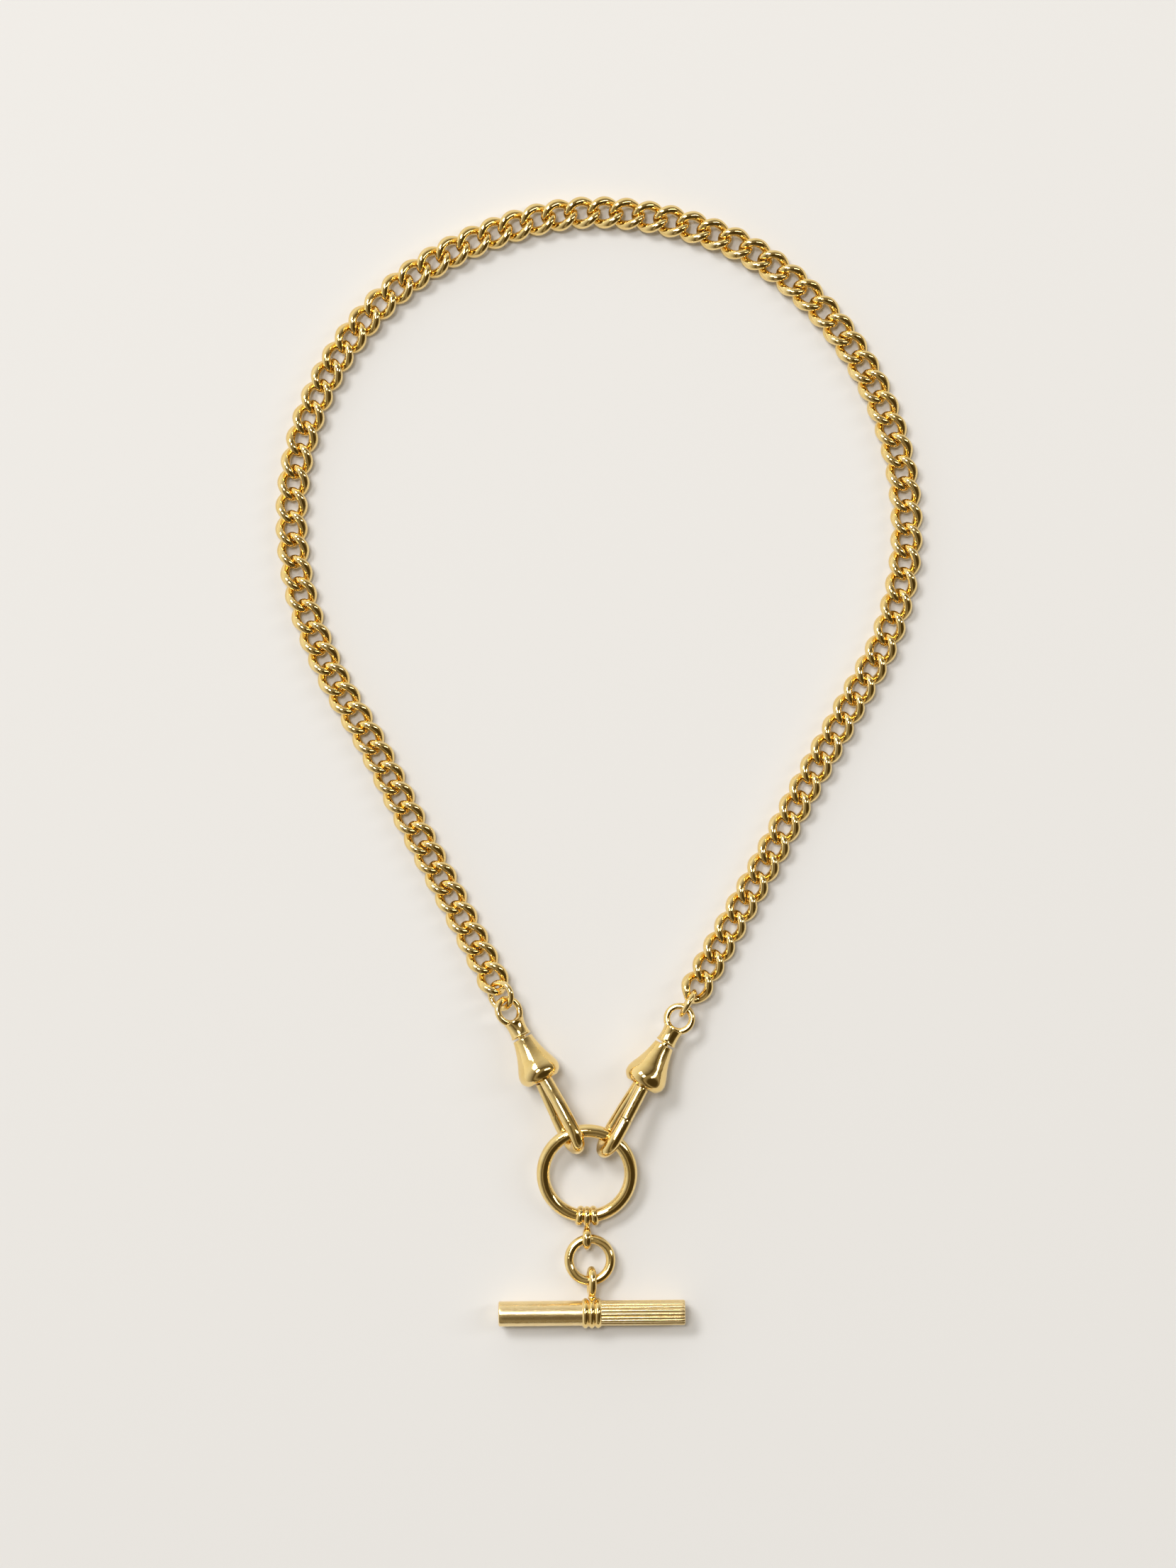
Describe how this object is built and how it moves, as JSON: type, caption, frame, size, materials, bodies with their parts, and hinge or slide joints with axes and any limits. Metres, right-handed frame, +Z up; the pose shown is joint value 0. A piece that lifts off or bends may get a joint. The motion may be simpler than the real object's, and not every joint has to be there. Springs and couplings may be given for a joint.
{
  "type": "chain necklace",
  "caption": "Gold-tone curb chain necklace whose two ends close with swivel hook clasps onto a large ring, from which a toggle bar pendant hangs on linked rings.",
  "frame": {"origin": "middle of the outline of the laid-out necklace, on the surface that it lies on", "axes": "+Y from the T-bar up to the crown of the chain, +X to the right seen from above, +Z up out of the surface"},
  "size_m": [0.133, 0.2324, 0.0095],
  "materials": {
    "polished_gold": "polished gold plate",
    "satin_gold": "lightly satin gold plate",
    "spring_steel": "drawn spring wire"
  },
  "bodies": {
    "big_ring": {"big_ring": "polished_gold", "ring_collar": "polished_gold", "collar_link": "polished_gold"},
    "small_ring": {"small_ring": "polished_gold"},
    "t_bar": {"t_bar_loop": "polished_gold", "t_bar_collar": "polished_gold", "t_bar_smooth_half": "satin_gold", "t_bar_fluted_half": "satin_gold"},
    "left_eye": {"left_swivel_eye": "polished_gold", "left_swivel_rivet": "polished_gold"},
    "left_clasp": {"left_hook": "polished_gold", "left_bell": "polished_gold", "left_gate_pin": "polished_gold", "left_gate_spring": "spring_steel"},
    "left_gate": {"left_gate": "polished_gold"},
    "left_jump": {"left_jump_ring": "polished_gold"},
    "left_run_01": {"left_chain_01": "polished_gold"},
    "left_run_02": {"left_chain_02": "polished_gold"},
    "left_run_03": {"left_chain_03": "polished_gold"},
    "left_run_04": {"left_chain_04": "polished_gold"},
    "left_run_05": {"left_chain_05": "polished_gold"},
    "left_run_06": {"left_chain_06": "polished_gold"},
    "left_run_07": {"left_chain_07": "polished_gold"},
    "left_run_08": {"left_chain_08": "polished_gold"},
    "left_run_09": {"left_chain_09": "polished_gold"},
    "left_run_10": {"left_chain_10": "polished_gold"},
    "left_run_11": {"left_chain_11": "polished_gold"},
    "left_run_12": {"left_chain_12": "polished_gold"},
    "left_run_13": {"left_chain_13": "polished_gold"},
    "left_run_14": {"left_chain_14": "polished_gold"},
    "left_run_15": {"left_chain_15": "polished_gold"},
    "left_run_16": {"left_chain_16": "polished_gold"},
    "left_run_17": {"left_chain_17": "polished_gold"},
    "left_run_18": {"left_chain_18": "polished_gold"},
    "right_eye": {"right_swivel_eye": "polished_gold", "right_swivel_rivet": "polished_gold"},
    "right_clasp": {"right_hook": "polished_gold", "right_bell": "polished_gold", "right_gate_pin": "polished_gold", "right_gate_spring": "spring_steel"},
    "right_gate": {"right_gate": "polished_gold"},
    "right_jump": {"right_jump_ring": "polished_gold"},
    "right_run_01": {"right_chain_01": "polished_gold"},
    "right_run_02": {"right_chain_02": "polished_gold"},
    "right_run_03": {"right_chain_03": "polished_gold"},
    "right_run_04": {"right_chain_04": "polished_gold"},
    "right_run_05": {"right_chain_05": "polished_gold"},
    "right_run_06": {"right_chain_06": "polished_gold"},
    "right_run_07": {"right_chain_07": "polished_gold"},
    "right_run_08": {"right_chain_08": "polished_gold"},
    "right_run_09": {"right_chain_09": "polished_gold"},
    "right_run_10": {"right_chain_10": "polished_gold"},
    "right_run_11": {"right_chain_11": "polished_gold"},
    "right_run_12": {"right_chain_12": "polished_gold"},
    "right_run_13": {"right_chain_13": "polished_gold"},
    "right_run_14": {"right_chain_14": "polished_gold"},
    "right_run_15": {"right_chain_15": "polished_gold"},
    "right_run_16": {"right_chain_16": "polished_gold"},
    "right_run_17": {"right_chain_17": "polished_gold"},
    "right_run_18": {"right_chain_18": "polished_gold"}
  },
  "joints": [
    {"name": "a_left_grip", "type": "hinge", "parent": "big_ring", "child": "left_eye", "pos_m": [-0.00589, -0.07627, 0.00507], "axis": [0.9954, -0.0948, -0.0143], "range_deg": [-14, 27]},
    {"name": "b_left_eye_fold", "type": "hinge", "parent": "left_eye", "child": "left_jump", "pos_m": [-0.01929, -0.04964, 0.00357], "axis": [0.9991, -0.0428, 0.0014], "range_deg": [-12, 40]},
    {"name": "c_left_jump_fold", "type": "hinge", "parent": "left_jump", "child": "left_run_01", "pos_m": [-0.02094, -0.0464, 0.00296], "axis": [0.9992, -0.041, 0], "range_deg": [-25, 2]},
    {"name": "left_fold_01", "type": "hinge", "parent": "left_run_01", "child": "left_run_02", "pos_m": [-0.02508, -0.03828, 0.00184], "axis": [0.9993, -0.0373, 0], "range_deg": [-7, 7]},
    {"name": "left_fold_02", "type": "hinge", "parent": "left_run_02", "child": "left_run_03", "pos_m": [-0.0315, -0.02588, 0.00164], "axis": [0.9995, -0.0328, 0], "range_deg": [-8, 8]},
    {"name": "left_fold_03", "type": "hinge", "parent": "left_run_03", "child": "left_run_04", "pos_m": [-0.03582, -0.01772, 0.00164], "axis": [0.9996, -0.0295, 0], "range_deg": [-8, 8]},
    {"name": "left_fold_04", "type": "hinge", "parent": "left_run_04", "child": "left_run_05", "pos_m": [-0.04219, -0.00529, 0.00164], "axis": [0.9997, -0.0256, 0], "range_deg": [-8, 8]},
    {"name": "left_fold_05", "type": "hinge", "parent": "left_run_05", "child": "left_run_06", "pos_m": [-0.04641, 0.00292, 0.00164], "axis": [0.9997, -0.0243, 0], "range_deg": [-8, 8]},
    {"name": "left_fold_06", "type": "hinge", "parent": "left_run_06", "child": "left_run_07", "pos_m": [-0.05344, 0.01498, 0.00164], "axis": [0.9998, -0.0195, 0], "range_deg": [-7, 7]},
    {"name": "left_fold_07", "type": "hinge", "parent": "left_run_07", "child": "left_run_08", "pos_m": [-0.05746, 0.02328, 0.00164], "axis": [0.9998, -0.02, 0], "range_deg": [-7, 7]},
    {"name": "left_fold_08", "type": "hinge", "parent": "left_run_08", "child": "left_run_09", "pos_m": [-0.06174, 0.03654, 0.00164], "axis": [0.9998, -0.0199, 0], "range_deg": [-10, 10]},
    {"name": "left_fold_09", "type": "hinge", "parent": "left_run_09", "child": "left_run_10", "pos_m": [-0.06304, 0.04567, 0.00164], "axis": [0.9998, -0.0196, 0], "range_deg": [-10, 10]},
    {"name": "left_fold_10", "type": "hinge", "parent": "left_run_10", "child": "left_run_11", "pos_m": [-0.06245, 0.05958, 0.00164], "axis": [0.9998, -0.0197, 0], "range_deg": [-10, 10]},
    {"name": "left_fold_11", "type": "hinge", "parent": "left_run_11", "child": "left_run_12", "pos_m": [-0.06036, 0.06856, 0.00164], "axis": [0.9998, -0.0201, 0], "range_deg": [-8, 8]},
    {"name": "left_fold_12", "type": "hinge", "parent": "left_run_12", "child": "left_run_13", "pos_m": [-0.05479, 0.08133, 0.00164], "axis": [0.9998, -0.0205, 0], "range_deg": [-7, 7]},
    {"name": "left_fold_13", "type": "hinge", "parent": "left_run_13", "child": "left_run_14", "pos_m": [-0.04958, 0.08894, 0.00164], "axis": [0.9998, -0.0202, 0], "range_deg": [-7, 7]},
    {"name": "left_fold_14", "type": "hinge", "parent": "left_run_14", "child": "left_run_15", "pos_m": [-0.03969, 0.09874, 0.00164], "axis": [0.9998, -0.0176, 0], "range_deg": [-5, 5]},
    {"name": "left_fold_15", "type": "hinge", "parent": "left_run_15", "child": "left_run_16", "pos_m": [-0.032, 0.10382, 0.00164], "axis": [0.9999, -0.0125, 0], "range_deg": [-5, 5]},
    {"name": "left_fold_16", "type": "hinge", "parent": "left_run_16", "child": "left_run_17", "pos_m": [-0.01925, 0.10945, 0.00164], "axis": [1, -0.009, 0], "range_deg": [-5, 5]},
    {"name": "left_fold_17", "type": "hinge", "parent": "left_run_17", "child": "left_run_18", "pos_m": [-0.01036, 0.1119, 0.00164], "axis": [0.9998, -0.0176, 0], "range_deg": [-5, 5]},
    {"name": "g_left_swivel", "type": "hinge", "parent": "left_eye", "child": "left_clasp", "pos_m": [-0.01531, -0.05752, 0.00416], "axis": [-0.4486, 0.8927, -0.0436], "range_deg": [-6, 6]},
    {"name": "f_left_gate_hinge", "type": "hinge", "parent": "left_clasp", "child": "left_gate", "pos_m": [-0.01256, -0.06415, 0.00295], "axis": [-0.8522, -0.4125, 0.322], "range_deg": [0, 18], "stiffness_Nm_per_rad": 0.004, "springref_deg": -5.73},
    {"name": "a_right_grip", "type": "hinge", "parent": "big_ring", "child": "right_eye", "pos_m": [0.00247, -0.07706, 0.00495], "axis": [0.9954, -0.0948, -0.0143], "range_deg": [-14, 27]},
    {"name": "b_right_eye_fold", "type": "hinge", "parent": "right_eye", "child": "right_jump", "pos_m": [0.01731, -0.05121, 0.00362], "axis": [0.9991, -0.0428, 0.0014], "range_deg": [-12, 40]},
    {"name": "c_right_jump_fold", "type": "hinge", "parent": "right_jump", "child": "right_run_01", "pos_m": [0.01908, -0.04804, 0.00296], "axis": [0.9992, -0.041, 0], "range_deg": [-25, 2]},
    {"name": "right_fold_01", "type": "hinge", "parent": "right_run_01", "child": "right_run_02", "pos_m": [0.02353, -0.04009, 0.00184], "axis": [0.9993, -0.0373, 0], "range_deg": [-7, 7]},
    {"name": "right_fold_02", "type": "hinge", "parent": "right_run_02", "child": "right_run_03", "pos_m": [0.03035, -0.0279, 0.00164], "axis": [0.9995, -0.0328, 0], "range_deg": [-8, 8]},
    {"name": "right_fold_03", "type": "hinge", "parent": "right_run_03", "child": "right_run_04", "pos_m": [0.03478, -0.01981, 0.00164], "axis": [0.9996, -0.0295, 0], "range_deg": [-8, 8]},
    {"name": "right_fold_04", "type": "hinge", "parent": "right_run_04", "child": "right_run_05", "pos_m": [0.04126, -0.00743, 0.00164], "axis": [0.9997, -0.0256, 0], "range_deg": [-8, 8]},
    {"name": "right_fold_05", "type": "hinge", "parent": "right_run_05", "child": "right_run_06", "pos_m": [0.04566, 0.00068, 0.00164], "axis": [0.9997, -0.0243, 0], "range_deg": [-8, 8]},
    {"name": "right_fold_06", "type": "hinge", "parent": "right_run_06", "child": "right_run_07", "pos_m": [0.0524, 0.01291, 0.00164], "axis": [0.9998, -0.0195, 0], "range_deg": [-7, 7]},
    {"name": "right_fold_07", "type": "hinge", "parent": "right_run_07", "child": "right_run_08", "pos_m": [0.05686, 0.02099, 0.00164], "axis": [0.9998, -0.02, 0], "range_deg": [-7, 7]},
    {"name": "right_fold_08", "type": "hinge", "parent": "right_run_08", "child": "right_run_09", "pos_m": [0.06157, 0.03409, 0.00164], "axis": [0.9998, -0.0199, 0], "range_deg": [-10, 10]},
    {"name": "right_fold_09", "type": "hinge", "parent": "right_run_09", "child": "right_run_10", "pos_m": [0.06302, 0.04319, 0.00164], "axis": [0.9998, -0.0196, 0], "range_deg": [-10, 10]},
    {"name": "right_fold_10", "type": "hinge", "parent": "right_run_10", "child": "right_run_11", "pos_m": [0.06255, 0.05712, 0.00164], "axis": [0.9998, -0.0197, 0], "range_deg": [-10, 10]},
    {"name": "right_fold_11", "type": "hinge", "parent": "right_run_11", "child": "right_run_12", "pos_m": [0.06063, 0.06613, 0.00164], "axis": [0.9998, -0.0201, 0], "range_deg": [-8, 8]},
    {"name": "right_fold_12", "type": "hinge", "parent": "right_run_12", "child": "right_run_13", "pos_m": [0.05544, 0.07906, 0.00164], "axis": [0.9998, -0.0205, 0], "range_deg": [-7, 7]},
    {"name": "right_fold_13", "type": "hinge", "parent": "right_run_13", "child": "right_run_14", "pos_m": [0.0506, 0.08691, 0.00164], "axis": [0.9998, -0.0202, 0], "range_deg": [-7, 7]},
    {"name": "right_fold_14", "type": "hinge", "parent": "right_run_14", "child": "right_run_15", "pos_m": [0.04133, 0.09731, 0.00164], "axis": [0.9998, -0.0176, 0], "range_deg": [-5, 5]},
    {"name": "right_fold_15", "type": "hinge", "parent": "right_run_15", "child": "right_run_16", "pos_m": [0.03407, 0.10299, 0.00164], "axis": [0.9999, -0.0125, 0], "range_deg": [-5, 5]},
    {"name": "right_fold_16", "type": "hinge", "parent": "right_run_16", "child": "right_run_17", "pos_m": [0.02156, 0.10909, 0.00164], "axis": [1, -0.009, 0], "range_deg": [-5, 5]},
    {"name": "right_fold_17", "type": "hinge", "parent": "right_run_17", "child": "right_run_18", "pos_m": [0.01266, 0.1115, 0.00164], "axis": [0.9998, -0.0176, 0], "range_deg": [-5, 5]},
    {"name": "g_right_swivel", "type": "hinge", "parent": "right_eye", "child": "right_clasp", "pos_m": [0.01292, -0.05887, 0.0042], "axis": [0.4978, 0.8666, -0.0358], "range_deg": [-6, 6]},
    {"name": "f_right_gate_hinge", "type": "hinge", "parent": "right_clasp", "child": "right_gate", "pos_m": [0.00971, -0.06514, 0.00602], "axis": [0.8445, -0.4936, -0.2078], "range_deg": [0, 18], "stiffness_Nm_per_rad": 0.004, "springref_deg": -5.73},
    {"name": "d_small_ring_swing", "type": "hinge", "parent": "big_ring", "child": "small_ring", "pos_m": [-0.00189, -0.09802, 0.00252], "axis": [-1, 0, 0], "range_deg": [-75, 75]},
    {"name": "e_t_bar_swing", "type": "hinge", "parent": "small_ring", "child": "t_bar", "pos_m": [-0.00189, -0.10654, 0.00312], "axis": [-1, 0, 0], "range_deg": [-75, 75]}
  ],
  "couplings": [
    {"joint": "a_right_grip", "follows": "a_left_grip", "ratio": 1},
    {"joint": "b_right_eye_fold", "follows": "b_left_eye_fold", "ratio": 1},
    {"joint": "c_right_jump_fold", "follows": "c_left_jump_fold", "ratio": 1},
    {"joint": "right_fold_01", "follows": "left_fold_01", "ratio": 1},
    {"joint": "right_fold_02", "follows": "left_fold_02", "ratio": 1},
    {"joint": "right_fold_03", "follows": "left_fold_03", "ratio": 1},
    {"joint": "right_fold_04", "follows": "left_fold_04", "ratio": 1},
    {"joint": "right_fold_05", "follows": "left_fold_05", "ratio": 1},
    {"joint": "right_fold_06", "follows": "left_fold_06", "ratio": 1},
    {"joint": "right_fold_07", "follows": "left_fold_07", "ratio": 1},
    {"joint": "right_fold_08", "follows": "left_fold_08", "ratio": 1},
    {"joint": "right_fold_09", "follows": "left_fold_09", "ratio": 1},
    {"joint": "right_fold_10", "follows": "left_fold_10", "ratio": 1},
    {"joint": "right_fold_11", "follows": "left_fold_11", "ratio": 1},
    {"joint": "right_fold_12", "follows": "left_fold_12", "ratio": 1},
    {"joint": "right_fold_13", "follows": "left_fold_13", "ratio": 1},
    {"joint": "right_fold_14", "follows": "left_fold_14", "ratio": 1},
    {"joint": "right_fold_15", "follows": "left_fold_15", "ratio": 1},
    {"joint": "right_fold_16", "follows": "left_fold_16", "ratio": 1},
    {"joint": "right_fold_17", "follows": "left_fold_17", "ratio": 1}
  ]
}
